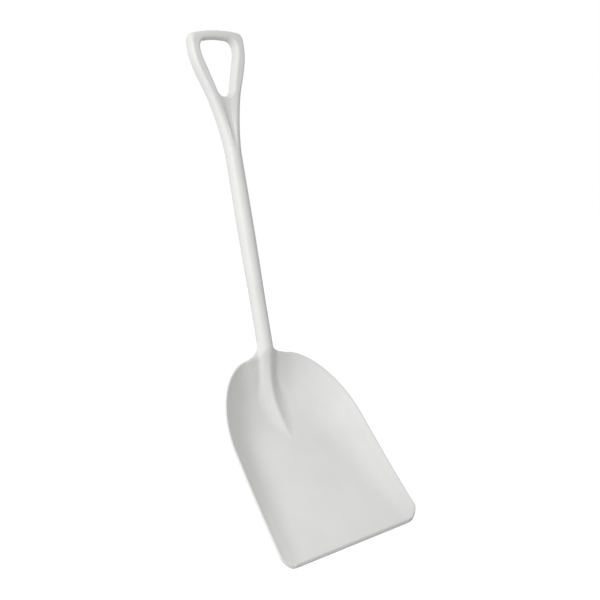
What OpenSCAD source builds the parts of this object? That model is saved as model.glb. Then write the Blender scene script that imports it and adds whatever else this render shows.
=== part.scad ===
// One-piece moulded scoop shovel: a dished blade, a round shaft and a D grip.
// The moulding is drawn as three skin sections and the foamed core inside each of them.
// Origin: the middle of the underside of the crossbar, where the shovel hangs on a hook.
// +Z runs up the shaft to the grip, -Y is the front (the hollow side of the blade), X is the width.

/* [Blade] */
// Width across the rims near the front edge
blade_w = 354; // [240:1:460]
// Width across the rims where the round shoulders begin
shoulder_w = 332; // [220:1:440]
// Length of the floor from the front edge to the heel
blade_l = 418; // [340:1:520]
// Distance from the front edge to the start of the round shoulders
shoulder_u = 240; // [180:1:300]
// Size of the two front corners in plan
corner_r = 26; // [12:1:60]
// Shape of the front corners, from round (1) to clipped straight (2)
corner_clip = 1.3; // [1:0.1:2]
// How much the round shoulders slope down towards the sides (power)
shoulder_power = 1.2; // [1:0.05:1.5]
// Height of the rim's outer edge at the front corners
rim_front_h = 12; // [8:1:40]
// Height of the rim's outer edge at the heel
rim_heel_h = 78; // [50:1:110]
// How fast the rim rises towards the heel (power)
rim_power = 1.3; // [1:0.1:2.5]
// Wall thickness of the pan
wall_t = 8; // [5:0.5:10]
// Wall thickness at the rim
rim_t = 5; // [3:0.5:8]
// How far the face of the front edge leans back over the wall
lip_slant = 4.5; // [0:0.5:8]
// Width of the curved side of the dish at the front
dish_front = 48; // [30:1:90]
// Width of the curved side of the dish at the heel
dish_heel = 135; // [100:1:160]
// How soon the dish widens towards the heel (power)
dish_spread = 0.8; // [0.5:0.1:1.5]
// How steeply the side of the dish turns up into the rim (power)
dish_power = 2.6; // [2:0.1:3.5]
// Angle between the floor and the shaft
blade_angle = 38; // [25:1:45]

/* [Spine] */
// Distance from the front edge to the point of the spine
spine_u = 264; // [220:1:300]
// Share of the crest's height that rises in a straight line
spine_foot = 0.245; // [0.1:0.005:1]
// How fast the rest of the crest rises towards the heel (power)
spine_power = 3; // [1:0.1:4]
// Slope of the spine's flanks at its point
spine_slope_tip = 0.5; // [0.3:0.05:1.5]
// Slope of the spine's flanks at the heel
spine_slope_heel = 1.7; // [1:0.1:3]
// Radius of the corner between the shaft and the heel rim
neck_fillet = 36; // [8:1:45]

/* [Shaft] */
// Shaft diameter at the blade
shaft_low_d = 33; // [28:0.5:40]
// Shaft diameter at the grip
shaft_top_d = 34.2; // [28:0.5:40]
// How much the shaft swells at mid-length, on the diameter
shaft_belly = 1.4; // [0:0.1:4]
// Distance from the heel rim up to the shaft's lower joint
lower_joint = 98.7; // [60:0.1:140]
// Length of the shaft section between its two joints
shaft_l = 315; // [200:1:450]
// Thickness of the solid skin round the foamed core
skin_t = 5; // [3:0.5:8]
// Length of the core that keys each joint
spigot_l = 30; // [15:1:40]

/* [Grip] */
// Width across the D grip
grip_w = 132; // [120:1:160]
// Distance from the shaft's upper joint to the top of the fork
neck_l = 128; // [110:1:160]
// Clear height of the D opening
opening_h = 119; // [100:1:150]
// Height of the crossbar
bar_h = 17.5; // [14:0.5:24]
// Depth of the crossbar and arms, front to back
bar_d = 27; // [22:0.5:34]
// How much lower the crossbar's ends are than its middle
bar_crown = 4; // [0:0.5:8]
// Width of one arm
arm_w = 23; // [20:0.5:32]

/* [Hidden] */

skin = "#efefed";   // white moulded skin
foam = "#e4e3de";   // foamed core inside the thick sections

// Heights along the shaft, all measured from the hang point at z = 0
fork_z = -opening_h;
upper_z = fork_z - neck_l;
lower_z = upper_z - shaft_l;
heel_z = lower_z - lower_joint;
heel_y = 1;

low_r = shaft_low_d / 2;
top_r = shaft_top_d / 2;
core_r = min(low_r, top_r) - skin_t;
// The blade's core stops level with the heel rim, below which the section gets thin
core_tip_r = skin_t;
core_tip_z = heel_z + 1;
grip_core_l = 70;
grip_core_r = min(core_r, bar_d / 2 - skin_t);

// Corners and curves of the D grip
bar_corner_r = 14;
open_corner_r = 17.5;
open_crown = bar_crown / 2;
bow_r = 60;
bow_z = -20;
arm_lean = 18;
fork_r = 19.5;
// The loop's section is a rounded rectangle: 2 would be an ellipse
loop_square = 2.5;
loop_sides = 16;

// The neck laps into the fork, turns from round to squarer and has a shallow dent in its front
neck_top = neck_l - 1.5;
neck_power = 1.75;
neck_pull = 4.5;
neck_square = 0.6;
neck_sides = 40;
dent_d = 3;
dent_from = 0.15;
dent_run = 0.4;
dent_half = 0.75;
dent_edge = 0.35;

// Outer profile of the shaft between its joints, with a slight swell
shaft_steps = 12;
shaft_side = [for (i = [0:shaft_steps]) let (v = i / shaft_steps)
    [low_r + (top_r - low_r) * ease(v) + shaft_belly / 2 * pow(sin(180 * v), 2), shaft_l * v]];

ca = cos(blade_angle);
sa = sin(blade_angle);

// Where the floor's underside meets the front edge. The shaft's axis passes the heel at seat_h
seat_h = rim_heel_h + 5;
tip_y = heel_y - blade_l * sa + seat_h * ca;
tip_z = heel_z - blade_l * ca - seat_h * sa;

// A point given across the blade (x), along the floor (u) and up from its underside (w)
function on_blade(p) = [p[0], tip_y + p[1] * sa - p[2] * ca, tip_z + p[1] * ca + p[2] * sa];
// Floor coordinates of the shaft's axis
axis_u = -tip_y / sa;
function axis_w(u) = (u - axis_u) * sa / ca;

function clamp(v) = max(0, min(1, v));
function ease(v) = let (c = clamp(v)) c * c * (3 - 2 * c);
// The larger of two heights, blended over a distance k
function soft_max(a, b, k) = let (h = max(0, k - abs(a - b)) / k) max(a, b) + h * h * k / 4;
function soft_min(a, b, k) = -soft_max(-a, -b, k);

// Half width of the plan outline
half_w = blade_w / 2;
half_s = shoulder_w / 2;
neck_x = low_r + neck_fillet;
taper = (half_w - half_s) / shoulder_u;
heel_run = blade_l - shoulder_u;

// Rows of the outline from the front edge to the shaft: [distance along the floor, half width]
function corner_u(a) = corner_r * (1 - pow(cos(a), corner_clip));
corner_rows = [for (a = [0:18:90])
    [corner_u(a), half_w - corner_r + corner_r * pow(sin(a), corner_clip) - taper * corner_u(a)]];
side_steps = 8;
side_rows = [for (i = [1:side_steps]) let (u = corner_r + (shoulder_u - corner_r) * i / side_steps)
    [u, half_w - taper * u]];
shoulder_rows = [for (a = [7.5:7.5:82.5]) [shoulder_u + heel_run * sin(a),
    neck_x + (half_s - neck_x) * pow(cos(a), shoulder_power) - taper * heel_run * sin(a) * (1 - sin(a))]];
fillet_rows = [for (a = [0:15:75]) [blade_l + neck_fillet * (1 - cos(a)), neck_x - neck_fillet * sin(a)]];
rows = concat(corner_rows, side_rows, shoulder_rows, fillet_rows);

// Rim height along the blade, running up into the side of the shaft at the neck
neck_lead = 6;
function rim_h(u) = let (rise = rim_front_h + (rim_heel_h - rim_front_h) * pow(clamp(u / blade_l), rim_power))
    rise + (axis_w(u) - wall_t / 2 - rise) * ease((u - blade_l + neck_lead) / (neck_fillet + neck_lead));

// Half width of the outline at a distance from the front edge
function half_at(u) = let (v = clamp((u - shoulder_u) / heel_run)) u <= shoulder_u ? half_w - taper * u :
    neck_x + (half_s - neck_x) * pow(1 - v * v, shoulder_power / 2) - taper * heel_run * v * (1 - v);
// Distance in from the outline, to the side and, in the shoulders, towards the heel too
function inset(x, u) = let (side = half_at(u) - abs(x), v = (u - shoulder_u) / heel_run,
    out = clamp((abs(x) - neck_x) / (half_s - neck_x)),
    ahead = heel_run * (sqrt(1 - pow(out, 2 / shoulder_power)) - v))
    u <= shoulder_u ? side : side <= 0 || ahead <= 0 ? 0 :
    side / sqrt(1 + ease(2 * v) * pow(side / ahead, 2));
// The wall thins towards the rim
rim_run = 25;
function wall(x, u) = rim_t + (wall_t - rim_t) * ease(inset(x, u) / rim_run);
function dish_w(u) = dish_front + (dish_heel - dish_front) * pow(clamp(u / blade_l), dish_spread);
// Height of the pan's underside
function under(x, u) = rim_h(u) * pow(clamp(1 - inset(x, u) / dish_w(u)), dish_power);
// The back of the shaft shows through the heel as a bulge that fades into the pan
bulge_soft = 12;
bulge_run = 75;
bulge_ramp = 60;
function bulge(x, u) = let (h = under(x, u), tube = axis_w(u) - (low_r / ca - round_drop(abs(x))))
    h + (soft_min(h, tube, bulge_soft) - h) * ease((u - blade_l + bulge_run) / bulge_ramp);
// Normal of the underside, from its slopes over a short step
slope_step = 0.5;
function under_normal(x, u) = let (e = slope_step,
    gx = (under(x + e, u) - under(x - e, u)) / (2 * e), gu = (under(x, u + e) - under(x, u - e)) / (2 * e),
    n = norm([gx, gu, 1])) [-gx, -gu, 1] / n;

// Height of the spine: round like the shaft at the heel, a blunt ridge towards its point
spine_run = blade_l - spine_u;
crest_heel = axis_w(blade_l) + low_r / ca;
function crest(u) = u > blade_l ? axis_w(u) + low_r / ca :
    let (g = (u - spine_u) / spine_run)
    wall_t + (crest_heel - wall_t) * (spine_foot * g + (1 - spine_foot) * pow(max(0, g), spine_power));
// Drop of the shaft's round front to either side, running out straight near its widest point
round_end = 0.94;
round_slope = round_end / sqrt(1 - round_end * round_end);
function round_drop(x) = let (c = round_end * low_r) (x < c ? low_r - sqrt(low_r * low_r - x * x) :
    low_r - sqrt(low_r * low_r - c * c) + (x - c) * round_slope) / ca;
ridge_r = 4;
function ridge_slope(u) = spine_slope_tip
    + (spine_slope_heel - spine_slope_tip) * pow(clamp((u - spine_u) / spine_run), 2);
function ridge_drop(x, u) = ridge_slope(u) * (sqrt(x * x + ridge_r * ridge_r) - ridge_r);
round_run = 70;
round_ramp = 80;
function spine(x, u) = let (k = ease((u - blade_l + round_run) / round_ramp))
    crest(u) - (1 - k) * ridge_drop(abs(x), u) - k * round_drop(abs(x));
// The spine runs into the floor over a blend that grows quickly from its point
blend_tip = 4;
blend_heel = 20;
blend_gain = 1.6;
function blend(u) = blend_tip + (blend_heel - blend_tip) * clamp(blend_gain * (u - spine_u) / spine_run);

// Columns across one ring: the front from left to right, then the back from right to left.
// They crowd towards the middle, where the spine is
half_n = 12;
crowd = 0.65;
across = [for (j = [-half_n:half_n]) let (s = j / half_n) (1 - crowd) * s + crowd * s * abs(s)];
n_cols = 2 * half_n + 1;
lip_run = 30;
function front_at(x, u) = let (p = [x, u + lip_slant * max(0, 1 - u / lip_run), under(x, u)]
        + wall(x, u) * under_normal(x, u))
    [p[0], p[1], soft_max(p[2], spine(p[0], p[1]), blend(u))];
function back_at(x, u) = [x, u, bulge(x, u)];
function blade_ring(row) = concat(
    [for (s = across) on_blade(front_at(s * row[1], row[0]))],
    [for (j = [n_cols - 1:-1:0]) on_blade(back_at(across[j] * row[1], row[0]))]);
// The same columns on the round shaft, where the rim has run out
side_a = 82;
round_from = heel_z + 52;
function shaft_ring(r, z) = concat(
    [for (s = across) let (a = side_a * s) [r * sin(a), -r * cos(a), z]],
    [for (j = [n_cols - 1:-1:0]) let (a = side_a * across[j]) [r * sin(a), r * cos(a), z]]);

// Skin through a list of rings that all have the same number of points
module rings_solid(rings) {
    n = len(rings[0]);
    last = len(rings) - 1;
    polyhedron(points = [for (ring = rings) each ring], faces = concat(
        [[for (j = [0:n - 1]) j]],
        [for (i = [0:last - 1]) for (j = [0:n - 1]) [i * n + (j + 1) % n, i * n + j, (i + 1) * n + j]],
        [for (i = [0:last - 1]) for (j = [0:n - 1])
            [i * n + (j + 1) % n, (i + 1) * n + j, (i + 1) * n + (j + 1) % n]],
        [[for (j = [n - 1:-1:0]) last * n + j]]));
}

// Room for the foamed cores, cut a little past each open end
core_sides = 48;
past = 1;
module socket(z, up, r, l) {
    translate([0, 0, z]) mirror([0, 0, up ? 0 : 1]) translate([0, 0, -past])
        cylinder(h = l + past, r = r, $fn = core_sides);
}

module blade_core() {
    color(foam)
    translate([0, 0, core_tip_z])
        cylinder(h = lower_z - spigot_l - core_tip_z, r1 = core_tip_r, r2 = core_r, $fn = core_sides);
}

module blade() {
    color(skin)
    difference() {
        rings_solid(concat([for (row = rows) blade_ring(row)],
            [shaft_ring(low_r, round_from), shaft_ring(low_r, lower_z)]));
        socket(lower_z, false, core_r, spigot_l);
        translate([0, 0, core_tip_z])
            cylinder(h = lower_z - spigot_l - core_tip_z, r1 = core_tip_r, r2 = core_r, $fn = core_sides);
    }
}

shaft_sides = 64;
module shaft() {
    color(skin)
    difference() {
        translate([0, 0, lower_z]) rotate_extrude($fn = shaft_sides)
            polygon(concat([[0, 0]], shaft_side, [[0, shaft_l]]));
        translate([0, 0, lower_z - past]) cylinder(h = shaft_l + 2 * past, r = core_r, $fn = shaft_sides);
    }
}

module shaft_core() {
    color(foam)
    translate([0, 0, lower_z - spigot_l]) cylinder(h = shaft_l + 2 * spigot_l, r = core_r, $fn = shaft_sides);
}

// One ring of the D loop: the section between the outer and the inner outline on a common normal
function power(v, e) = sign(v) * pow(abs(v), e);
function loop_ring(oc, o_r, ic, i_r, a) = let (n = [cos(a), sin(a)],
    o = oc + o_r * n, i = ic + i_r * n, m = (o + i) / 2, h = (o - i) / 2, e = 2 / loop_square)
    [for (j = [0:loop_sides - 1]) let (t = j * 360 / loop_sides, k = power(cos(t), e))
        [m[0] + h[0] * k, bar_d / 2 * power(sin(t), e), m[1] + h[1] * k]];
function flip(ring) = [for (p = ring) [-p[0], p[1], p[2]]];

// Right half of the loop, from the crossbar's middle down to the fork
fork_steps = 5;
bar_run = grip_w / 2 - bar_corner_r;
open_run = grip_w / 2 - arm_w - open_corner_r;
loop_half = concat(
    [for (f = [0:0.25:0.75]) loop_ring([f * bar_run, bar_h - bar_crown * f * f - bar_corner_r], bar_corner_r,
        [f * open_run, -open_crown * f * f - open_corner_r], open_corner_r, 90)],
    [for (a = [90:-15:0]) loop_ring([bar_run, bar_h - bar_crown - bar_corner_r], bar_corner_r,
        [open_run, -open_crown - open_corner_r], open_corner_r, a)],
    [for (a = [0:-6:-arm_lean]) loop_ring([grip_w / 2 - bow_r, bow_z], bow_r,
        [grip_w / 2 - arm_w - bow_r, bow_z], bow_r, a)],
    [for (i = [0:fork_steps]) let (a = -arm_lean - i * (90 - arm_lean) / fork_steps)
        loop_ring([0, fork_z + fork_r], fork_r + arm_w, [0, fork_z + fork_r], fork_r, a)]);
loop_n = len(loop_half);
loop_rings = concat(loop_half, [for (i = [loop_n - 2:-1:1]) flip(loop_half[i])]);

module closed_loop(rings) {
    n = len(rings[0]);
    m = len(rings);
    polyhedron(points = [for (ring = rings) each ring], faces = concat(
        [for (i = [0:m - 1]) for (j = [0:n - 1]) [i * n + j, i * n + (j + 1) % n, (i + 1) % m * n + j]],
        [for (i = [0:m - 1]) for (j = [0:n - 1])
            [i * n + (j + 1) % n, (i + 1) % m * n + (j + 1) % n, (i + 1) % m * n + j]]));
}

// The neck widens from the round shaft to the fork
neck_w = fork_r + arm_w - neck_pull;
function neck_ring(v) = let (w = top_r + (neck_w - top_r) * pow(v, neck_power),
    d = top_r + (bar_d / 2 - top_r) * ease(v), e = 2 / (2 + neck_square * v),
    dent = dent_d * ease((v - dent_from) / dent_run))
    [for (j = [0:neck_sides - 1]) let (t = j * 360 / neck_sides, x = power(cos(t), e), y = power(sin(t), e),
        hollow = y < 0 ? dent * ease((dent_half - abs(x)) / dent_edge) : 0)
        [w * x, d * y + hollow, upper_z + v * neck_top]];

module grip() {
    color(skin)
    difference() {
        union() {
            closed_loop(loop_rings);
            rings_solid([for (v = [0:0.1:1]) neck_ring(v)]);
        }
        socket(upper_z, true, core_r, spigot_l);
        translate([0, 0, upper_z + spigot_l])
            cylinder(h = grip_core_l, r1 = core_r, r2 = grip_core_r, $fn = core_sides);
    }
}

module grip_core() {
    color(foam)
    translate([0, 0, upper_z + spigot_l])
        cylinder(h = grip_core_l, r1 = core_r, r2 = grip_core_r, $fn = core_sides);
}

blade();
shaft();
grip();
blade_core();
shaft_core();
grip_core();
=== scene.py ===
import bisect
import math

import bmesh
import bpy
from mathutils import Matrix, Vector, kdtree


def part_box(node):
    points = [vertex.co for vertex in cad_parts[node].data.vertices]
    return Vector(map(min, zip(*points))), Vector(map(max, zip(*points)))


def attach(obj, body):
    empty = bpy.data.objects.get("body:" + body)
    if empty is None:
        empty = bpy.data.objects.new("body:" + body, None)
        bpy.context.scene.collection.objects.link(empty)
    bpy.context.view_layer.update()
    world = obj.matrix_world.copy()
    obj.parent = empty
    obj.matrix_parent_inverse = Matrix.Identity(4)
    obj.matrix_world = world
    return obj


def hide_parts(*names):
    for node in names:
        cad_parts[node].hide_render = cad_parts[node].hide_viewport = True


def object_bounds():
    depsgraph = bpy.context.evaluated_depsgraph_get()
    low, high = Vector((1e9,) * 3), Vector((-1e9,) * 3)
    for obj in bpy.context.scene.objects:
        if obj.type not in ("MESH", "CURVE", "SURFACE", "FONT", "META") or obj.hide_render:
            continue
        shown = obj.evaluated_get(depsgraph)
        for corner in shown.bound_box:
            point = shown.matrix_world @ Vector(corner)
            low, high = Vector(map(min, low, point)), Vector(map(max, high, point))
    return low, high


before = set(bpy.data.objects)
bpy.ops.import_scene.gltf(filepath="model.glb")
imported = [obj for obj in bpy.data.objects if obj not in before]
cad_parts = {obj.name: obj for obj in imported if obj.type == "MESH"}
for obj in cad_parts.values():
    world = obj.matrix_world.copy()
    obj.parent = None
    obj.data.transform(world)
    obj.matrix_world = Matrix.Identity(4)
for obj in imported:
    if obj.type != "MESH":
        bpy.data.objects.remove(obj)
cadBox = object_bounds()


def clamp01(v):
    return max(0.0, min(1.0, v))


def ease(v):
    c = clamp01(v)
    return c * c * (3 - 2 * c)


def mix(a, b, k):
    return a + (b - a) * k


def softMax(a, b, reach):
    # the larger of two heights, rounded off where they meet
    h = max(0.0, reach - abs(a - b)) / reach
    return max(a, b) + h * h * reach / 4


def softMin(a, b, reach):
    return -softMax(-a, -b, reach)


def roundPower(v, power):
    return math.copysign(abs(v) ** power, v)


def finishPiece(name, bm, material):
    # turns a bmesh into an object that rides with the tool
    bmesh.ops.recalc_face_normals(bm, faces=bm.faces[:])
    mesh = bpy.data.meshes.new(name)
    bm.to_mesh(mesh)
    bm.free()
    piece = bpy.data.objects.new(name, mesh)
    bpy.context.scene.collection.objects.link(piece)
    mesh.materials.append(material)
    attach(piece, "root")
    return piece


def drillEnd(bm, height, radius, depth, tipRadius, tipDepth):
    # closes the open ring at one height and sinks the socket for the foam core into it
    rim = [e for e in bm.edges if e.is_boundary]
    rim = [e for e in rim if all(abs(v.co.z - height) < 1e-5 for v in e.verts)]
    for edge in rim:
        edge.smooth = False
    face = bmesh.ops.edgeloop_fill(bm, edges=rim)["faces"][0]
    wall = max(v.co.xy.length for v in face.verts) - radius
    steps = [(radius, 0.0), (radius, depth), (tipRadius, depth + tipDepth)]
    for index, (size, sink) in enumerate(steps):
        if index == 0:
            bmesh.ops.inset_individual(bm, faces=[face], thickness=wall, use_even_offset=True)
        else:
            face = bmesh.ops.extrude_discrete_faces(bm, faces=[face])["faces"][0]
        for v in face.verts:
            flat = v.co.xy.normalized() * size
            v.co = Vector((flat.x, flat.y, height + sink))
        for edge in face.edges:
            edge.smooth = False


joints = {
    "lower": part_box("shaft")[0][2],     # where the blade's socket meets the shaft
    "upper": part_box("shaft")[1][2],     # where the shaft meets the grip's neck
    "lowRadius": 0.0165,                # of the shaft at the two joints
    "topRadius": 0.0171,
    "coreRadius": 0.0115,
    "spigot": 0.030,                    # the shaft's core runs this far past each joint
}

blade = {
    "halfFront": 0.177,         # half width at the front edge
    "halfShoulder": 0.166,      # half width where the shoulders start to round
    "length": 0.418,            # front edge to heel along the floor
    "shoulderFrom": 0.240,
    "cornerRadius": 0.026,
    "cornerClip": 1.3,          # 1 is a round corner, 2 a straight clipped one
    "shoulderRound": 1.2,
    "frontRise": 0.012,         # height of the rim at the front corners
    "heelRise": 0.078,          # height of the rim at the heel
    "risePower": 1.3,
    "wall": 0.008,
    "rimWall": 0.005,           # the wall thins towards the rim
    "rimRun": 0.025,
    "edgeRound": 0.0026,        # rounding of the rim
    "lipRound": 0.0012,         # and of the front edge
    "lipSlant": 0.0045,         # the front edge leans back by this much
    "lipFade": 0.030,
    "dishFront": 0.048,         # the sides begin to turn up this far in from the rim
    "dishHeel": 0.135,          # and this far at the heel
    "dishSpread": 0.8,          # how soon the dish widens towards the heel
    "dishPower": 2.6,           # how steeply its side turns up into the rim
    "angle": math.radians(38),  # between the floor and the shaft
    "heelBehind": 0.0010,       # the rim's middle lies this far behind the shaft's axis
    "heelBelow": 0.0987,        # and this far below the lower joint
    "heelLead": 0.006,          # the rim starts to leave for the shaft this far before the heel
    "neckFillet": 0.036,        # rounding between the heel and the shaft
    "filletLead": 0.002,
    "gather": 0.060,            # the columns gather for the shaft over this length before the heel
    "tubeShare": 0.6,           # share of the columns that ends on the shaft's front
    "tubeAngle": math.radians(70),
    "shaftAngle": math.radians(82),     # half the shaft's turn that the pan's columns take up
    "crowding": 0.55,           # how much the columns crowd towards the spine
    "edgePower": 0.75,          # section of the rim, 1 would be round
    "spineFrom": 0.264,         # point of the spine, from the front edge
    "spineFoot": 0.245,         # share of the crest that rises straight
    "spinePower": 3.0,
    "spineSlopeTip": 0.50,      # slope of the spine's flanks at its point and at the heel
    "spineSlopeHeel": 1.7,
    "spineCrest": 0.004,        # rounding of the crest
    "roundFrom": 0.070,         # the spine turns round like the shaft from here before the heel
    "roundRun": 0.080,
    "flankFrom": 0.94,          # share of the shaft's radius where straight flanks take over
    "flankSlope": 2.76,
    "blendTip": 0.004,          # rounding between the spine and the floor at its point
    "blendHeel": 0.020,         # and towards the heel
    "blendGrowth": 1.6,
    "bulgeFrom": 0.075,         # the shaft's back shows under the pan from here before the heel
    "bulgeRun": 0.060,
    "bulgeBlend": 0.012,
    "coreTip": 0.005,           # radius of the foam core's blunt point
    "coreAbove": 0.001,         # which ends this far above the heel
    "columns": 72,              # across the pan, on each side of its wall
    "rimColumns": 6,
    "lipRows": 3,
    "rows": {"corner": 10, "side": 40, "shoulder": 44, "fillet": 12, "shaft": 16},
    "endRow": 0.995,            # a close last row keeps the joint crisp
}

sinA = math.sin(blade["angle"])
cosA = math.cos(blade["angle"])
heelZ = joints["lower"] - blade["heelBelow"]
seat = blade["heelRise"] + blade["rimWall"]
tipY = blade["heelBehind"] - blade["length"] * sinA + seat * cosA
tipZ = heelZ - blade["length"] * cosA - seat * sinA
axisFrom = -tipY / sinA
taper = (blade["halfFront"] - blade["halfShoulder"]) / blade["shoulderFrom"]
heelRun = blade["length"] - blade["shoulderFrom"]
neckHalf = joints["lowRadius"] + blade["neckFillet"]
shoulderSpan = blade["halfShoulder"] - neckHalf


def onBlade(x, u, w):
    # across the blade, along its floor, and up from its underside
    return Vector((x, tipY + u * sinA - w * cosA, tipZ + u * cosA + w * sinA))


def axisHeight(u):
    # height of the shaft's axis above the underside of the floor
    return (u - axisFrom) * sinA / cosA


def beyond(u, lead, run):
    # 0 up to a lead before the heel, then rises to 1 over the run
    return ease((u - blade["length"] + lead) / run)


def rimHeight(u):
    share = clamp01(u / blade["length"]) ** blade["risePower"]
    rise = mix(blade["frontRise"], blade["heelRise"], share)
    k = beyond(u, blade["heelLead"], blade["neckFillet"] + blade["heelLead"])
    return mix(rise, axisHeight(u) - blade["wall"] / 2, k)


def outlineHalf(u):
    # half width of the plan outline
    if u <= blade["shoulderFrom"]:
        return blade["halfFront"] - taper * u
    v = clamp01((u - blade["shoulderFrom"]) / heelRun)
    bend = taper * heelRun * v * (1 - v)
    return neckHalf + shoulderSpan * (1 - v * v) ** (blade["shoulderRound"] / 2) - bend


def inset(x, u):
    # distance in from the outline, measured to the side and, in the shoulders, towards the heel too
    side = outlineHalf(u) - abs(x)
    if u <= blade["shoulderFrom"]:
        return side
    v = (u - blade["shoulderFrom"]) / heelRun
    out = clamp01((abs(x) - neckHalf) / shoulderSpan)
    ahead = heelRun * (math.sqrt(1 - out ** (2 / blade["shoulderRound"])) - v)
    if side <= 0 or ahead <= 0:
        return 0.0
    return side / math.sqrt(1 + ease(2 * v) * (side / ahead) ** 2)


def underside(x, u):
    share = clamp01(u / blade["length"]) ** blade["dishSpread"]
    reach = mix(blade["dishFront"], blade["dishHeel"], share)
    return rimHeight(u) * clamp01(1 - inset(x, u) / reach) ** blade["dishPower"]


def wallAt(x, u):
    return mix(blade["rimWall"], blade["wall"], ease(inset(x, u) / blade["rimRun"]))


def undersideNormal(x, u):
    step = 0.0005
    slopeX = (underside(x + step, u) - underside(x - step, u)) / (2 * step)
    slopeU = (underside(x, u + step) - underside(x, u - step)) / (2 * step)
    return Vector((-slopeX, -slopeU, 1)).normalized()


def roundDrop(x):
    # how far the shaft's round front falls away at a distance from its middle
    r = joints["lowRadius"]
    c = blade["flankFrom"] * r
    if x < c:
        return (r - math.sqrt(r * r - x * x)) / cosA
    return (r - math.sqrt(r * r - c * c) + (x - c) * blade["flankSlope"]) / cosA


def spineHeight(x, u):
    run = blade["length"] - blade["spineFrom"]
    heelCrest = axisHeight(blade["length"]) + joints["lowRadius"] / cosA
    if u > blade["length"]:
        crest = axisHeight(u) + joints["lowRadius"] / cosA
    else:
        g = (u - blade["spineFrom"]) / run
        foot = blade["spineFoot"]
        rise = foot * g + (1 - foot) * max(0.0, g) ** blade["spinePower"]
        crest = blade["wall"] + (heelCrest - blade["wall"]) * rise
    c = blade["spineCrest"]
    steepness = clamp01((u - blade["spineFrom"]) / run) ** 2
    slope = mix(blade["spineSlopeTip"], blade["spineSlopeHeel"], steepness)
    ridge = slope * (math.sqrt(x * x + c * c) - c)
    return crest - mix(ridge, roundDrop(abs(x)), beyond(u, blade["roundFrom"], blade["roundRun"]))


def outlineRow(row, shrink):
    # plan outline at a row: distance along the floor and half width, pulled in by shrink
    kind, v = row
    r = blade["cornerRadius"]
    if kind == "corner":
        a = v * math.pi / 2
        clip = blade["cornerClip"]
        u = r - (r - shrink) * math.cos(a) ** clip
        return u, blade["halfFront"] - r + (r - shrink) * math.sin(a) ** clip - taper * u
    if kind == "side":
        u = mix(r, blade["shoulderFrom"], v)
        return u, blade["halfFront"] - taper * u - shrink
    if kind == "shoulder":
        a = v * math.pi / 2
        bend = taper * heelRun * math.sin(a) * (1 - math.sin(a))
        rounded = (shoulderSpan - shrink) * max(0.0, math.cos(a)) ** blade["shoulderRound"]
        return blade["shoulderFrom"] + (heelRun - shrink) * math.sin(a), neckHalf + rounded - bend
    a = v * math.pi / 2
    f = blade["neckFillet"] + shrink
    return blade["length"] - shrink + f * (1 - math.cos(a)), neckHalf - f * math.sin(a)


def bladeRows():
    # from the front edge, round the corners, along the sides and shoulders and up the shaft
    counts = blade["rows"]
    rows = [("lip", 1 - i / blade["lipRows"]) for i in range(blade["lipRows"])]
    rows += [("corner", i / counts["corner"]) for i in range(counts["corner"] + 1)]
    rows += [("side", i / counts["side"]) for i in range(1, counts["side"] + 1)]
    rows += [("shoulder", i / counts["shoulder"]) for i in range(1, counts["shoulder"])]
    rows += [("fillet", i / counts["fillet"]) for i in range(counts["fillet"] + 1)]
    rows += [("shaft", i / counts["shaft"]) for i in range(1, counts["shaft"])]
    return rows + [("shaft", blade["endRow"]), ("shaft", 1.0)]


def bladeColumn(column):
    # place across the pan, -1 to 1, and turn round the rim: 0 on the pan's front, pi on its back
    wide, band = blade["columns"], blade["rimColumns"]
    if column <= wide:
        return 2 * column / wide - 1, 0.0
    if column <= wide + band:
        return 1.0, (column - wide) / band * math.pi
    if column <= 2 * wide + band:
        return 1 - 2 * (column - wide - band) / wide, math.pi
    return -1.0, math.pi - (column - 2 * wide - band) / band * math.pi


def shaftPlace(s, phi):
    # place of the same column on the round shaft, sideways and forward
    angle = blade["shaftAngle"]
    if phi == math.pi:
        return math.sin(angle * s), -math.cos(angle * s)
    turn = s * mix(angle, math.pi - angle, phi / math.pi)
    return math.sin(turn), math.cos(turn)


def panPoint(s, u, half, h):
    # a point of the pan at a column and a distance along, h from -1 on its back to 1 on its front
    r = joints["lowRadius"]
    x = half * mix(s, s * abs(s), blade["crowding"])
    inNeck = beyond(u, blade["gather"], blade["gather"])
    if inNeck > 0:
        tube, angle = blade["tubeShare"], blade["tubeAngle"]
        if abs(s) < tube:
            near = r * math.sin(s / tube * angle)
        else:
            near = math.copysign(mix(r * math.sin(angle), half, (abs(s) - tube) / (1 - tube)), s)
        x = mix(x, near, inNeck)
    base = Vector((x, u, underside(x, u)))
    normal = undersideNormal(x, u)
    if h < 0:
        low = axisHeight(u) - (r / cosA - roundDrop(abs(x)))
        bulge = softMin(base.z, low, blade["bulgeBlend"]) - base.z
        base.z += bulge * beyond(u, blade["bulgeFrom"], blade["bulgeRun"]) * abs(h)
    p = base + normal * wallAt(x, u) * (0.5 + 0.5 * h)
    if h > 0:
        along = (p.y - blade["spineFrom"]) / (blade["length"] - blade["spineFrom"])
        reach = mix(blade["blendTip"], blade["blendHeel"], clamp01(blade["blendGrowth"] * along))
        p.z = mix(p.z, softMax(p.z, spineHeight(p.x, p.y), reach), h)
    return onBlade(p.x, p.y, p.z)


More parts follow.
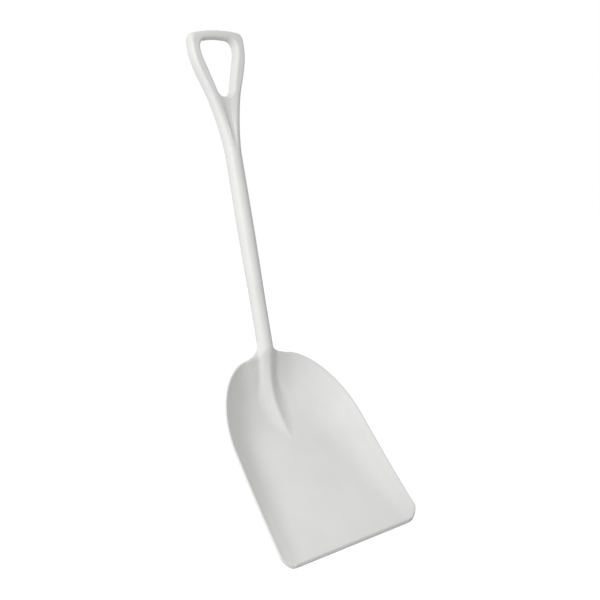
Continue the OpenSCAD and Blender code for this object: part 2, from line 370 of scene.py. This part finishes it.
def buildBlade(material):
    rows = bladeRows()
    around = 2 * (blade["columns"] + blade["rimColumns"])
    bm = bmesh.new()
    bmesh.ops.create_grid(bm, x_segments=around, y_segments=len(rows) - 1, size=1)
    r = joints["lowRadius"]
    neckTop = blade["length"] + blade["neckFillet"]
    zNeck = tipZ + neckTop * cosA + axisHeight(neckTop) * sinA
    for v in bm.verts:
        s, phi = bladeColumn(round((v.co.x + 1) / 2 * around))
        kind, t = rows[round((v.co.y + 1) / 2 * (len(rows) - 1))]
        sideways, forward = shaftPlace(s, phi)
        if kind == "shaft":
            z = mix(zNeck, joints["lower"], t)
            tilt = (1 - ease(t)) * sinA / cosA
            v.co = Vector((r * sideways, -r * forward, z + tilt * r * forward))
            continue
        lip = t * math.pi / 2 if kind == "lip" else 0.0
        bent = min(max(phi, lip), math.pi - lip)
        rounding = blade["lipRound" if kind == "lip" else "edgeRound"]
        shrink = rounding * (1 - math.sin(bent) ** blade["edgePower"])
        h = roundPower(math.cos(bent), blade["edgePower"])
        u, half = outlineRow(("corner", 0.0) if kind == "lip" else (kind, t), shrink)
        u += blade["lipSlant"] * (0.5 + 0.5 * h) * max(0.0, 1 - u / blade["lipFade"])
        v.co = panPoint(s, u, half, h)
        if kind == "fillet":
            k = beyond(u, blade["filletLead"], blade["neckFillet"] + blade["filletLead"])
            zAxis = tipZ + u * cosA + axisHeight(u) * sinA
            onShaft = Vector((r * sideways, -r * forward, zAxis + r * forward * sinA / cosA))
            v.co = v.co.lerp(onShaft, k)
    bmesh.ops.remove_doubles(bm, verts=bm.verts[:], dist=1e-5)
    bmesh.ops.dissolve_degenerate(bm, edges=bm.edges[:], dist=1e-6)
    for face in bm.faces:
        face.smooth = True
    top, spigot = joints["lower"], joints["spigot"]
    tipDepth = heelZ + blade["coreAbove"] - top + spigot
    drillEnd(bm, top, joints["coreRadius"], -spigot, blade["coreTip"], tipDepth)
    return finishPiece("bladeSkin", bm, material)


shaft = {
    "sides": 72,
    "steps": 40,
    "swell": 0.0007,            # the shaft is this much fuller at its middle
    "endRow": 0.05,             # distance of the close rows at the ends, in steps
}


def buildShaft(material):
    low, high = joints["lower"], joints["upper"]
    steps, close = shaft["steps"], shaft["endRow"]
    # a close row at each end keeps the joint crisp
    levels = [0, close] + list(range(1, steps)) + [steps - close, steps]
    bm = bmesh.new()
    bmesh.ops.create_grid(bm, x_segments=shaft["sides"], y_segments=len(levels) - 1, size=1)
    for v in bm.verts:
        a = (v.co.x + 1) * math.pi
        t = levels[round((v.co.y + 1) / 2 * (len(levels) - 1))] / steps
        r = mix(joints["lowRadius"], joints["topRadius"], ease(t))
        r += shaft["swell"] * math.sin(math.pi * t) ** 2
        v.co = Vector((r * math.sin(a), -r * math.cos(a), mix(low, high, t)))
    bmesh.ops.remove_doubles(bm, verts=bm.verts[:], dist=1e-6)
    for face in bm.faces:
        face.smooth = True
    ends = [e for e in bm.edges if e.is_boundary]
    for edge in ends:
        edge.smooth = False
    bore = bmesh.ops.extrude_edge_only(bm, edges=ends)
    rings = [v for v in bore["geom"] if isinstance(v, bmesh.types.BMVert)]
    for v in rings:
        flat = v.co.xy.normalized() * joints["coreRadius"]
        v.co.x, v.co.y = flat.x, flat.y
    inner = [e for e in bm.edges if e.is_boundary]
    bmesh.ops.bridge_loops(bm, edges=inner)
    for edge in inner:
        edge.smooth = False
    return finishPiece("shaftSkin", bm, material)


grip = {
    "width": 0.132,
    "forkZ": -0.119,            # bottom of the D opening
    "openHalf": 0.043,          # half width of the opening at its widest
    "openRadius": 0.0175,       # its two upper corners
    "forkRadius": 0.0195,       # and its lower end
    "bowRadius": 0.060,         # the opening's sides bow outwards
    "bowZ": -0.020,             # the opening is widest here
    "bowTurn": math.radians(18),
    "barHeight": 0.0175,        # crossbar, from the opening's top to its own
    "barCrown": 0.004,          # the crossbar's ends lie this much below its middle
    "openCrown": 0.002,
    "barDepth": 0.027,          # front to back
    "square": 2.4,              # section of the loop, 2 would be round
    "cornerRadius": 0.016,
    "outerRound": 0.0125,       # rounding of the arms outside and inside the loop
    "innerRound": 0.008,
    "sideZ": -0.020,            # the arms stand upright from here to the corners
    "sideSpread": 1.06,         # rows are this much closer together down the arms
    "flare": 1.75,              # how late the neck widens towards the fork
    "forkHalf": 0.0380,         # half width of the neck level with the fork
    "dentDepth": 0.0034,        # shallow hollow between the two ridges of the neck's front
    "dentFrom": -0.238,
    "dentRun": 0.070,
    "dentSide": 1.15,           # above 1, the hollow has a flat bottom
    "dentPast": 0.004,          # it fades out from this far above the fork
    "dentFade": 0.030,
    "ridgeIn": 0.0125,          # the ridges run this far inside the outline
    "ribs": (-0.0072, 0.0, 0.0072),
    "ribWidth": 0.0021,
    "ribHeight": 0.0004,
    "ribFrom": -0.206,
    "ribTo": -0.146,
    "ribFade": 0.012,
    "reliefEdge": 1.4,          # the relief fades out where the section turns round
    "coreTip": 0.0085,          # radius of the foam core's blunt point
    "coreRun": 0.070,
    "columns": 36,              # across each half of the front and of the back
    "neckRows": 56,
    "neckSpread": 1.25,         # rows crowd towards the fork
    "neckTurn": 6,              # columns turn to the arms' spacing only near the fork
    "loopRows": 110,
    "endRow": 0.0004,           # distance of the close row at the neck's end
}


def arcPoints(x, z, radius, start, end, count):
    angles = [mix(start, end, i / count) for i in range(count + 1)]
    return [Vector((x + radius * math.cos(a), z + radius * math.sin(a), 0)) for a in angles]


def openingOutline():
    # right half of the D opening's edge, from the bottom to the middle of the top
    r, fork, bow, turn = grip["openRadius"], grip["forkRadius"], grip["bowRadius"], grip["bowTurn"]
    side = grip["openHalf"] - r
    arcSteps = 80
    points = arcPoints(0, grip["forkZ"] + fork, fork, -math.pi / 2, -turn, arcSteps)
    points += arcPoints(grip["openHalf"] - bow, grip["bowZ"], bow, -turn, 0, arcSteps)
    points += arcPoints(side, -grip["openCrown"] - r, r, 0, math.pi / 2, arcSteps)
    points += [Vector((side * f, -grip["openCrown"] * f * f, 0)) for f in (0.75, 0.5, 0.25, 0)]
    return points


openingPath = openingOutline()
openingSteps = [0.0]
for first, second in zip(openingPath, openingPath[1:]):
    openingSteps.append(openingSteps[-1] + (second - first).length)


def openingEdge(t):
    # a point on the opening's edge, by its share of the length
    d = t * openingSteps[-1]
    i = min(max(bisect.bisect_right(openingSteps, d) - 1, 0), len(openingPath) - 2)
    run = max(openingSteps[i + 1] - openingSteps[i], 1e-9)
    return openingPath[i].lerp(openingPath[i + 1], (d - openingSteps[i]) / run).xy


edgeSamples = 2000
openingTree = kdtree.KDTree(edgeSamples + 1)
for i in range(edgeSamples + 1):
    openingTree.insert(openingEdge(i / edgeSamples).to_3d(), i)
openingTree.balance()


def roundSide(distance, radius, square):
    # height of a rounded edge at a distance in from its outline, 1 where the edge ends
    v = 1 - min(1.0, distance / radius)
    return max(0.0, 1 - v ** square) ** (1 / square)


def outerHalf(z):
    # half width of the neck's and arms' outline below the top corners
    low = joints["upper"]
    v = clamp01((z - low) / (grip["forkZ"] - low))
    neck = joints["topRadius"] + (grip["forkHalf"] - joints["topRadius"]) * v ** grip["flare"]
    if z <= grip["forkZ"]:
        return neck
    top = grip["sideZ"]
    run = top - grip["forkZ"]
    s = (z - grip["forkZ"]) / run
    slope = (grip["forkHalf"] - joints["topRadius"]) * grip["flare"] / (grip["forkZ"] - low)
    rise = grip["width"] / 2 - grip["forkHalf"]
    # one smooth bow: leaves the neck at its slope and stands upright at the top
    lean = slope * run * (s ** 3 - 2 * s * s + s)
    return grip["forkHalf"] + lean + rise * (3 * s * s - 2 * s ** 3)


def outerEdge(t):
    # a point on the outer outline's right half: level with the fork at 0, middle of the top at 1
    r = grip["cornerRadius"]
    half = grip["width"] / 2
    top = grip["barHeight"] - grip["barCrown"]
    side = (top - r - grip["forkZ"]) * grip["sideSpread"]
    arc = r * math.pi / 2
    flat = half - r
    d = t * (side + arc + flat)
    if d < side:
        z = grip["forkZ"] + d / grip["sideSpread"]
        return Vector((outerHalf(min(z, grip["sideZ"])), z))
    d -= side
    if d < arc:
        a = d / r
        return Vector((half - r + r * math.cos(a), top - r + r * math.sin(a)))
    d -= arc
    return Vector((flat - d, grip["barHeight"] - grip["barCrown"] * (1 - d / flat) ** 2))


def neckRelief(x, z):
    # how far the front of the neck is sunk: a hollow between two ridges, with faint grip ribs in it
    ridge = outerHalf(z) - grip["ridgeIn"]
    hollow = ease((z - grip["dentFrom"]) / grip["dentRun"])
    hollow *= ease((ridge - abs(x)) / max(ridge, 1e-4) * grip["dentSide"])
    hollow *= 1 - ease((z - grip["forkZ"] - grip["dentPast"]) / grip["dentFade"])
    ends = ease((z - grip["ribFrom"]) / grip["ribFade"])
    ends *= ease((grip["ribTo"] - z) / grip["ribFade"])
    raised = sum(math.exp(-((x - rib) / grip["ribWidth"]) ** 2) for rib in grip["ribs"])
    return grip["dentDepth"] * hollow - grip["ribHeight"] * raised * ends


def gripRow(row, share):
    # inner and outer edge of a row, and the place between them for a share of the columns
    low, fork, neckRows = joints["upper"], grip["forkZ"], grip["neckRows"]
    onArm = (1 - math.cos(share * math.pi)) / 2
    if row > neckRows:
        t = (row - neckRows) / grip["loopRows"]
        return openingEdge(t), outerEdge(t), onArm
    q = max(0, row - 1) / (neckRows - 1)
    start = low + (grip["endRow"] if row else 0.0)
    z = mix(start, fork, 1 - (1 - q) ** grip["neckSpread"])
    onNeck = math.sin(share * math.pi / 2)
    s = mix(onArm, onNeck, 1 - (row / neckRows) ** grip["neckTurn"])
    return Vector((0.0, z)), Vector((outerHalf(z), z)), s


def gripDepth(p, outDist, inDist, half):
    # half thickness at a point, rounded towards both edges, and its share of the full one
    up = ease((p.y - joints["upper"]) / (grip["forkZ"] - joints["upper"]))
    roundOut = mix(joints["topRadius"], grip["outerRound"], up)
    depth = mix(joints["topRadius"], grip["barDepth"] / 2, up)
    y = depth * roundSide(outDist, min(roundOut, half), mix(2.0, grip["square"], up))
    y *= roundSide(inDist, min(grip["innerRound"], half), grip["square"])
    return y, y / depth


def buildGrip(material):
    # the right half is shaped on a grid, then mirrored
    across, neckRows = grip["columns"], grip["neckRows"]
    total = neckRows + grip["loopRows"]
    slopeStep = 0.001
    bm = bmesh.new()
    bmesh.ops.create_grid(bm, x_segments=2 * across, y_segments=total, size=1)
    for v in bm.verts:
        column = round((v.co.x + 1) / 2 * 2 * across)
        row = round((v.co.y + 1) / 2 * total)
        front = column <= across
        inner, outer, s = gripRow(row, column / across if front else 2 - column / across)
        p = inner.lerp(outer, s)
        length = (outer - inner).length
        outDist = (1 - s) * length
        if row <= neckRows:
            spread = outerHalf(p.y + slopeStep) - outerHalf(p.y - slopeStep)
            outDist *= math.cos(math.atan2(spread, 2 * slopeStep))
        onEdge = row > neckRows and s < 1e-6
        inDist = 0.0 if onEdge else openingTree.find(p.to_3d())[2]
        y, fullness = gripDepth(p, outDist, inDist, length / 2 if row > neckRows else 1.0)
        if front:
            relief = neckRelief(p.x, p.y) * min(1.0, fullness * grip["reliefEdge"])
            y = -max(y - relief, 0.0)
        v.co = Vector((p.x, y, p.y))
    bmesh.ops.remove_doubles(bm, verts=bm.verts[:], dist=2e-6)
    mirrored = bmesh.ops.duplicate(bm, geom=bm.verts[:] + bm.edges[:] + bm.faces[:])
    for v in mirrored["geom"]:
        if isinstance(v, bmesh.types.BMVert):
            v.co.x = -v.co.x
    bmesh.ops.remove_doubles(bm, verts=bm.verts[:], dist=2e-6)
    bmesh.ops.dissolve_degenerate(bm, edges=bm.edges[:], dist=1e-6)
    for face in bm.faces:
        face.smooth = True
    core = joints["coreRadius"], joints["spigot"], grip["coreTip"], grip["coreRun"]
    drillEnd(bm, joints["upper"], *core)
    return finishPiece("gripSkin", bm, material)


plastic = {
    "colour": (0.795, 0.797, 0.790, 1),
    "shadeColour": (0.755, 0.757, 0.748, 1),
    "wornColour": (0.835, 0.836, 0.830, 1),
    "roughness": 0.47,
    "roughnessSpread": 0.10,
    "grainSize": 1400.0,        # pebbles per metre of the etched mould
    "grainHeight": 0.00006,
    "flowSize": 9.0,            # slow cloudiness of the foamed moulding
    "wear": 0.55,
}

foam = {
    "colour": (0.690, 0.680, 0.640, 1),
    "shadeColour": (0.560, 0.550, 0.510, 1),
    "wornColour": (0.740, 0.735, 0.700, 1),
    "roughness": 0.82,
    "roughnessSpread": 0.12,
    "grainSize": 420.0,
    "grainHeight": 0.00035,
    "flowSize": 30.0,
    "wear": 0.25,
}

grainMix = {
    "smoothness": 0.6,
    "randomness": 0.9,
    "fineShare": 0.55,          # fine noise on top of the pebbles
    "spotSize": 0.23,           # scale of the flat spots against the pebbles'
}

toneMix = {
    "flowStretch": (3.2, 3.2, 0.35),    # flow marks run along the tool
    "flowBend": 0.4,
}

edgeRub = {
    "from": 0.515,              # pointiness where wear starts, and where it is full
    "to": 0.60,
    "patchSize": 60.0,
    "patchFrom": 0.36,
    "patchTo": 0.62,
}

moulding = {
    "ior": 1.49,
    "cloudFrom": 0.30,          # range of the cloud noise that shows
    "cloudTo": 0.72,
    "rippleStrength": 0.35,     # flow marks
    "rippleHeight": 0.0010,
    "grainStrength": 0.6,
}

scuff = {
    "stretch": (260, 40, 7),    # the marks run down the pan, long and narrow
    "from": 0.60,               # range of the noise that makes a mark
    "to": 0.74,
    "startBelow": 0.05,         # they begin this far below the heel
    "fullAbove": 0.02,          # and are strongest this far above the front edge
    "strength": 0.35,
    "dulling": 0.25,
}


def addNode(tree, kind, place, **settings):
    node = tree.nodes.new(kind)
    node.location = place
    for key, value in settings.items():
        setattr(node, key, value)
    return node


def newSocket(tree, name, kind, direction, value=None):
    socket = tree.interface.new_socket(name=name, in_out=direction, socket_type=kind)
    if value is not None:
        socket.default_value = value
    return socket


def makeGrainGroup():
    # fine pebbled texture of an etched mould, with scattered flat spots
    tree = bpy.data.node_groups.new("mouldGrain", "ShaderNodeTree")
    newSocket(tree, "Size", "NodeSocketFloat", "INPUT", 1000.0)
    newSocket(tree, "Height", "NodeSocketFloat", "OUTPUT")
    newSocket(tree, "Spots", "NodeSocketFloat", "OUTPUT")
    start = addNode(tree, "NodeGroupInput", (-900, 0))
    end = addNode(tree, "NodeGroupOutput", (700, 0))
    place = addNode(tree, "ShaderNodeTexCoord", (-900, 200))
    pebbles = addNode(tree, "ShaderNodeTexVoronoi", (-500, 220), feature="SMOOTH_F1")
    pebbles.inputs["Smoothness"].default_value = grainMix["smoothness"]
    pebbles.inputs["Randomness"].default_value = grainMix["randomness"]
    fine = addNode(tree, "ShaderNodeTexNoise", (-500, -60))
    fine.inputs["Detail"].default_value = 3.0
    fine.inputs["Roughness"].default_value = 0.6
    coarse = addNode(tree, "ShaderNodeMath", (-700, -220), operation="MULTIPLY")
    coarse.inputs[1].default_value = grainMix["spotSize"]
    spots = addNode(tree, "ShaderNodeTexNoise", (-500, -320))
    spots.inputs["Detail"].default_value = 2.0
    both = addNode(tree, "ShaderNodeMath", (-150, 120), operation="MULTIPLY_ADD")
    both.inputs[1].default_value = grainMix["fineShare"]
    link = tree.links.new
    link(place.outputs["Object"], pebbles.inputs["Vector"])
    link(place.outputs["Object"], fine.inputs["Vector"])
    link(place.outputs["Object"], spots.inputs["Vector"])
    link(start.outputs["Size"], pebbles.inputs["Scale"])
    link(start.outputs["Size"], fine.inputs["Scale"])
    link(start.outputs["Size"], coarse.inputs[0])
    link(coarse.outputs[0], spots.inputs["Scale"])
    link(fine.outputs["Fac"], both.inputs[0])
    link(pebbles.outputs["Distance"], both.inputs[2])
    link(both.outputs[0], end.inputs["Height"])
    link(spots.outputs["Fac"], end.inputs["Spots"])
    return tree


def makeToneGroup():
    # slow cloudiness and faint flow marks along the moulding
    tree = bpy.data.node_groups.new("mouldTone", "ShaderNodeTree")
    newSocket(tree, "Size", "NodeSocketFloat", "INPUT", 10.0)
    newSocket(tree, "Cloud", "NodeSocketFloat", "OUTPUT")
    newSocket(tree, "Flow", "NodeSocketFloat", "OUTPUT")
    start = addNode(tree, "NodeGroupInput", (-900, 0))
    end = addNode(tree, "NodeGroupOutput", (500, 0))
    place = addNode(tree, "ShaderNodeTexCoord", (-900, 200))
    cloud = addNode(tree, "ShaderNodeTexNoise", (-400, 200))
    cloud.inputs["Detail"].default_value = 4.0
    cloud.inputs["Roughness"].default_value = 0.5
    stretch = addNode(tree, "ShaderNodeMapping", (-650, -100))
    stretch.inputs["Scale"].default_value = toneMix["flowStretch"]
    flow = addNode(tree, "ShaderNodeTexNoise", (-400, -100))
    flow.inputs["Detail"].default_value = 5.0
    flow.inputs["Distortion"].default_value = toneMix["flowBend"]
    link = tree.links.new
    link(place.outputs["Object"], cloud.inputs["Vector"])
    link(place.outputs["Object"], stretch.inputs["Vector"])
    link(stretch.outputs["Vector"], flow.inputs["Vector"])
    link(start.outputs["Size"], cloud.inputs["Scale"])
    link(start.outputs["Size"], flow.inputs["Scale"])
    link(cloud.outputs["Fac"], end.inputs["Cloud"])
    link(flow.outputs["Fac"], end.inputs["Flow"])
    return tree


def makeWearGroup():
    # rubbed edges, broken up by a noise
    tree = bpy.data.node_groups.new("edgeWear", "ShaderNodeTree")
    newSocket(tree, "Amount", "NodeSocketFloat", "INPUT", 0.5)
    newSocket(tree, "Mask", "NodeSocketFloat", "OUTPUT")
    start = addNode(tree, "NodeGroupInput", (-900, 0))
    end = addNode(tree, "NodeGroupOutput", (600, 0))
    place = addNode(tree, "ShaderNodeTexCoord", (-900, 250))
    shape = addNode(tree, "ShaderNodeNewGeometry", (-900, -200))
    edges = addNode(tree, "ShaderNodeMapRange", (-500, -200))
    edges.inputs["From Min"].default_value = edgeRub["from"]
    edges.inputs["From Max"].default_value = edgeRub["to"]
    patches = addNode(tree, "ShaderNodeTexNoise", (-600, 250))
    patches.inputs["Scale"].default_value = edgeRub["patchSize"]
    patches.inputs["Detail"].default_value = 6.0
    patches.inputs["Roughness"].default_value = 0.65
    broken = addNode(tree, "ShaderNodeMapRange", (-300, 250))
    broken.inputs["From Min"].default_value = edgeRub["patchFrom"]
    broken.inputs["From Max"].default_value = edgeRub["patchTo"]
    both = addNode(tree, "ShaderNodeMath", (0, 0), operation="MULTIPLY")
    strength = addNode(tree, "ShaderNodeMath", (250, 0), operation="MULTIPLY", use_clamp=True)
    link = tree.links.new
    link(place.outputs["Object"], patches.inputs["Vector"])
    link(patches.outputs["Fac"], broken.inputs["Value"])
    link(shape.outputs["Pointiness"], edges.inputs["Value"])
    link(edges.outputs["Result"], both.inputs[0])
    link(broken.outputs["Result"], both.inputs[1])
    link(both.outputs[0], strength.inputs[0])
    link(start.outputs["Amount"], strength.inputs[1])
    link(strength.outputs[0], end.inputs["Mask"])
    return tree


grainGroup = makeGrainGroup()
toneGroup = makeToneGroup()
wearGroup = makeWearGroup()


def placeGroup(tree, group, place):
    node = tree.nodes.new("ShaderNodeGroup")
    node.node_tree = group
    node.location = place
    return node


def mixColour(tree, place, first, second):
    node = addNode(tree, "ShaderNodeMix", place, data_type="RGBA")
    node.inputs["A"].default_value = first
    node.inputs["B"].default_value = second
    return node


def mouldedMaterial(name, finish, scuffs):
    material = bpy.data.materials.new(name)
    material.use_nodes = True
    tree = material.node_tree
    link = tree.links.new
    shader = tree.nodes["Principled BSDF"]
    shader.inputs["Base Color"].default_value = finish["colour"]
    shader.inputs["IOR"].default_value = moulding["ior"]
    tone = placeGroup(tree, toneGroup, (-1100, 300))
    tone.inputs["Size"].default_value = finish["flowSize"]
    grain = placeGroup(tree, grainGroup, (-1100, -200))
    grain.inputs["Size"].default_value = finish["grainSize"]
    wear = placeGroup(tree, wearGroup, (-1100, 50))
    wear.inputs["Amount"].default_value = finish["wear"]
    cloud = addNode(tree, "ShaderNodeMapRange", (-850, 350))
    cloud.inputs["From Min"].default_value = moulding["cloudFrom"]
    cloud.inputs["From Max"].default_value = moulding["cloudTo"]
    shade = mixColour(tree, (-600, 350), finish["shadeColour"], finish["colour"])
    worn = mixColour(tree, (-350, 300), finish["colour"], finish["wornColour"])
    link(tone.outputs["Cloud"], cloud.inputs["Value"])
    link(cloud.outputs["Result"], shade.inputs["Factor"])
    link(shade.outputs["Result"], worn.inputs["A"])
    link(wear.outputs["Mask"], worn.inputs["Factor"])
    rough = addNode(tree, "ShaderNodeMapRange", (-600, 0))
    rough.inputs["To Min"].default_value = finish["roughness"] - finish["roughnessSpread"]
    rough.inputs["To Max"].default_value = finish["roughness"] + finish["roughnessSpread"]
    link(grain.outputs["Spots"], rough.inputs["Value"])
    colourOut, roughOut = worn.outputs["Result"], rough.outputs["Result"]
    if scuffs:
        colourOut, roughOut = addScuffs(tree, colourOut, roughOut)
    link(colourOut, shader.inputs["Base Color"])
    link(roughOut, shader.inputs["Roughness"])
    ripple = addNode(tree, "ShaderNodeBump", (-600, -500))
    ripple.inputs["Strength"].default_value = moulding["rippleStrength"]
    ripple.inputs["Distance"].default_value = moulding["rippleHeight"]
    link(tone.outputs["Flow"], ripple.inputs["Height"])
    bump = addNode(tree, "ShaderNodeBump", (-300, -300))
    bump.inputs["Strength"].default_value = moulding["grainStrength"]
    bump.inputs["Distance"].default_value = finish["grainHeight"]
    link(grain.outputs["Height"], bump.inputs["Height"])
    link(ripple.outputs["Normal"], bump.inputs["Normal"])
    link(bump.outputs["Normal"], shader.inputs["Normal"])
    return material


def addScuffs(tree, colour, rough):
    # faint lengthwise rubbing where grain has slid over the front of the pan
    link = tree.links.new
    place = addNode(tree, "ShaderNodeTexCoord", (-1500, -700))
    along = addNode(tree, "ShaderNodeMapping", (-1300, -700))
    along.inputs["Rotation"].default_value = (blade["angle"], 0, 0)
    along.inputs["Scale"].default_value = scuff["stretch"]
    marks = addNode(tree, "ShaderNodeTexNoise", (-1100, -700))
    marks.inputs["Scale"].default_value = 1.0
    marks.inputs["Detail"].default_value = 5.0
    marks.inputs["Roughness"].default_value = 0.7
    lines = addNode(tree, "ShaderNodeMapRange", (-900, -700))
    lines.inputs["From Min"].default_value = scuff["from"]
    lines.inputs["From Max"].default_value = scuff["to"]
    apart = addNode(tree, "ShaderNodeSeparateXYZ", (-1100, -950))
    lowEnd = addNode(tree, "ShaderNodeMapRange", (-900, -950))
    lowEnd.inputs["From Min"].default_value = heelZ - scuff["startBelow"]
    lowEnd.inputs["From Max"].default_value = tipZ + scuff["fullAbove"]
    mask = addNode(tree, "ShaderNodeMath", (-700, -800), operation="MULTIPLY")
    faint = addNode(tree, "ShaderNodeMath", (-500, -800), operation="MULTIPLY")
    faint.inputs[1].default_value = scuff["strength"]
    link(place.outputs["Object"], along.inputs["Vector"])
    link(along.outputs["Vector"], marks.inputs["Vector"])
    link(marks.outputs["Fac"], lines.inputs["Value"])
    link(place.outputs["Object"], apart.inputs["Vector"])
    link(apart.outputs["Z"], lowEnd.inputs["Value"])
    link(lines.outputs["Result"], mask.inputs[0])
    link(lowEnd.outputs["Result"], mask.inputs[1])
    link(mask.outputs[0], faint.inputs[0])
    tint = mixColour(tree, (-200, 500), plastic["colour"], plastic["wornColour"])
    link(colour, tint.inputs["A"])
    link(faint.outputs[0], tint.inputs["Factor"])
    dull = addNode(tree, "ShaderNodeMath", (-200, 50), operation="MULTIPLY_ADD")
    dull.inputs[1].default_value = scuff["dulling"]
    link(faint.outputs[0], dull.inputs[0])
    link(rough, dull.inputs[2])
    return tint.outputs["Result"], dull.outputs[0]


viewing = {
    "target": Vector((0.0711, -0.0506, -0.559)),
    "distance": 2.0183,
    "leftward": math.radians(37.3),
    "upward": math.radians(2.24),
    "roll": math.radians(-9.3),
    "lens": 58.05,
    "sensor": 36,
}


def placeCamera():
    a, e = viewing["leftward"], viewing["upward"]
    back = Vector((-math.sin(a) * math.cos(e), -math.cos(a) * math.cos(e), math.sin(e)))
    right = (-back).cross(Vector((0, 0, 1))).normalized()
    up = right.cross(-back)
    c, s = math.cos(viewing["roll"]), math.sin(viewing["roll"])
    rolledRight = c * right + s * up
    rolledUp = -s * right + c * up
    data = bpy.data.cameras.new("camera")
    data.lens = viewing["lens"]
    data.sensor_width = viewing["sensor"]
    camera = bpy.data.objects.new("camera", data)
    bpy.context.scene.collection.objects.link(camera)
    matrix = camera.matrix_world.to_3x3()
    matrix.col[0], matrix.col[1], matrix.col[2] = rolledRight, rolledUp, back
    camera.matrix_world = matrix.to_4x4()
    camera.location = viewing["target"] + back * viewing["distance"]
    bpy.context.scene.camera = camera


studio = {
    "fill": 0.67,               # light from the white room
    "fillSpread": 0.19,         # how much it falls off towards its dim side
    "dimSide": (0.3, -0.75, -0.5),
    "floorGap": 0.10,           # the shovel hangs this far above the floor
    "floorRadius": 40,
    "floorSides": 96,
    "floorGlow": 0.70,          # only the camera sees this
    "floorTone": 0.50,
    "floorRoughness": 0.95,
    "floorGloss": 0.1,
}

softbox = {
    "side": math.radians(-61),
    "rise": math.radians(16),
    "distance": 2.2,
    "size": 0.7,
    "power": 24.0,
    "aim": Vector((0, -0.05, -0.55)),
}


def placeLights():
    # a white room, with one softbox to the left of the shovel
    world = bpy.data.worlds.new("studio")
    world.use_nodes = True
    tree = world.node_tree
    sky = tree.nodes["Background"]
    sky.inputs["Color"].default_value = (1, 1, 1, 1)
    path = addNode(tree, "ShaderNodeLightPath", (-600, 0))
    level = addNode(tree, "ShaderNodeMapRange", (-300, 0))
    tree.links.new(path.outputs["Is Camera Ray"], level.inputs["Value"])
    tree.links.new(level.outputs["Result"], sky.inputs["Strength"])
    # the room is a little dimmer in front of the shovel, to its right and below
    around = addNode(tree, "ShaderNodeTexCoord", (-1100, 250))
    facing = addNode(tree, "ShaderNodeVectorMath", (-850, 250), operation="DOT_PRODUCT")
    facing.inputs[1].default_value = Vector(studio["dimSide"]).normalized()
    room = addNode(tree, "ShaderNodeMapRange", (-600, 250))
    room.inputs["From Min"].default_value = -1.0
    room.inputs["To Min"].default_value = studio["fill"] + studio["fillSpread"]
    room.inputs["To Max"].default_value = studio["fill"] - studio["fillSpread"]
    tree.links.new(around.outputs["Generated"], facing.inputs[0])
    tree.links.new(facing.outputs["Value"], room.inputs["Value"])
    tree.links.new(room.outputs["Result"], level.inputs["To Min"])
    scene = bpy.context.scene
    scene.world = world
    scene.view_settings.view_transform = "Standard"
    data = bpy.data.lights.new("softbox", "AREA")
    data.shape = "DISK"
    data.size = softbox["size"]
    data.energy = softbox["power"]
    light = bpy.data.objects.new("softbox", data)
    scene.collection.objects.link(light)
    side, rise = softbox["side"], softbox["rise"]
    out = math.cos(rise)
    away = Vector((math.sin(side) * out, -math.cos(side) * out, math.sin(rise)))
    light.location = softbox["aim"] + away * softbox["distance"]
    light.rotation_euler = away.to_track_quat("Z", "Y").to_euler()


def placeFloor():
    sides, radius = studio["floorSides"], studio["floorRadius"]
    level = cadBox[0][2] - studio["floorGap"]
    bm = bmesh.new()
    bmesh.ops.create_circle(bm, cap_ends=True, segments=sides, radius=radius)
    bmesh.ops.translate(bm, verts=bm.verts[:], vec=(0, 0, level))
    mesh = bpy.data.meshes.new("floor")
    bm.to_mesh(mesh)
    bm.free()
    floor = bpy.data.objects.new("floor", mesh)
    bpy.context.scene.collection.objects.link(floor)
    material = bpy.data.materials.new("paleFloor")
    material.use_nodes = True
    tree = material.node_tree
    shader = tree.nodes["Principled BSDF"]
    shader.inputs["Base Color"].default_value = [studio["floorTone"]] * 3 + [1]
    shader.inputs["Roughness"].default_value = studio["floorRoughness"]
    shader.inputs["Specular IOR Level"].default_value = studio["floorGloss"]
    shader.inputs["Emission Color"].default_value = (1, 1, 1, 1)
    path = addNode(tree, "ShaderNodeLightPath", (-600, 0))
    glow = addNode(tree, "ShaderNodeMath", (-300, 0), operation="MULTIPLY")
    glow.inputs[1].default_value = studio["floorGlow"]
    tree.links.new(path.outputs["Is Camera Ray"], glow.inputs[0])
    tree.links.new(glow.outputs[0], shader.inputs["Emission Strength"])
    mesh.materials.append(material)


bladeFinish = mouldedMaterial("whiteSkinScuffed", plastic, True)
skinFinish = mouldedMaterial("whiteSkin", plastic, False)
coreFinish = mouldedMaterial("foamedCore", foam, False)
print("materials ready")
bladeSkin = buildBlade(bladeFinish)
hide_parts("blade")
print("blade built,", len(bladeSkin.data.polygons), "faces")
shaftSkin = buildShaft(skinFinish)
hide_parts("shaft")
print("shaft built,", len(shaftSkin.data.polygons), "faces")
gripSkin = buildGrip(skinFinish)
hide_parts("grip")
print("grip built,", len(gripSkin.data.polygons), "faces")
for name in ("blade_core", "shaft_core", "grip_core"):
    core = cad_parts[name]
    core.data.materials.clear()
    core.data.materials.append(coreFinish)
print("cores finished")
placeCamera()
placeLights()
placeFloor()
print("camera, light and floor placed")
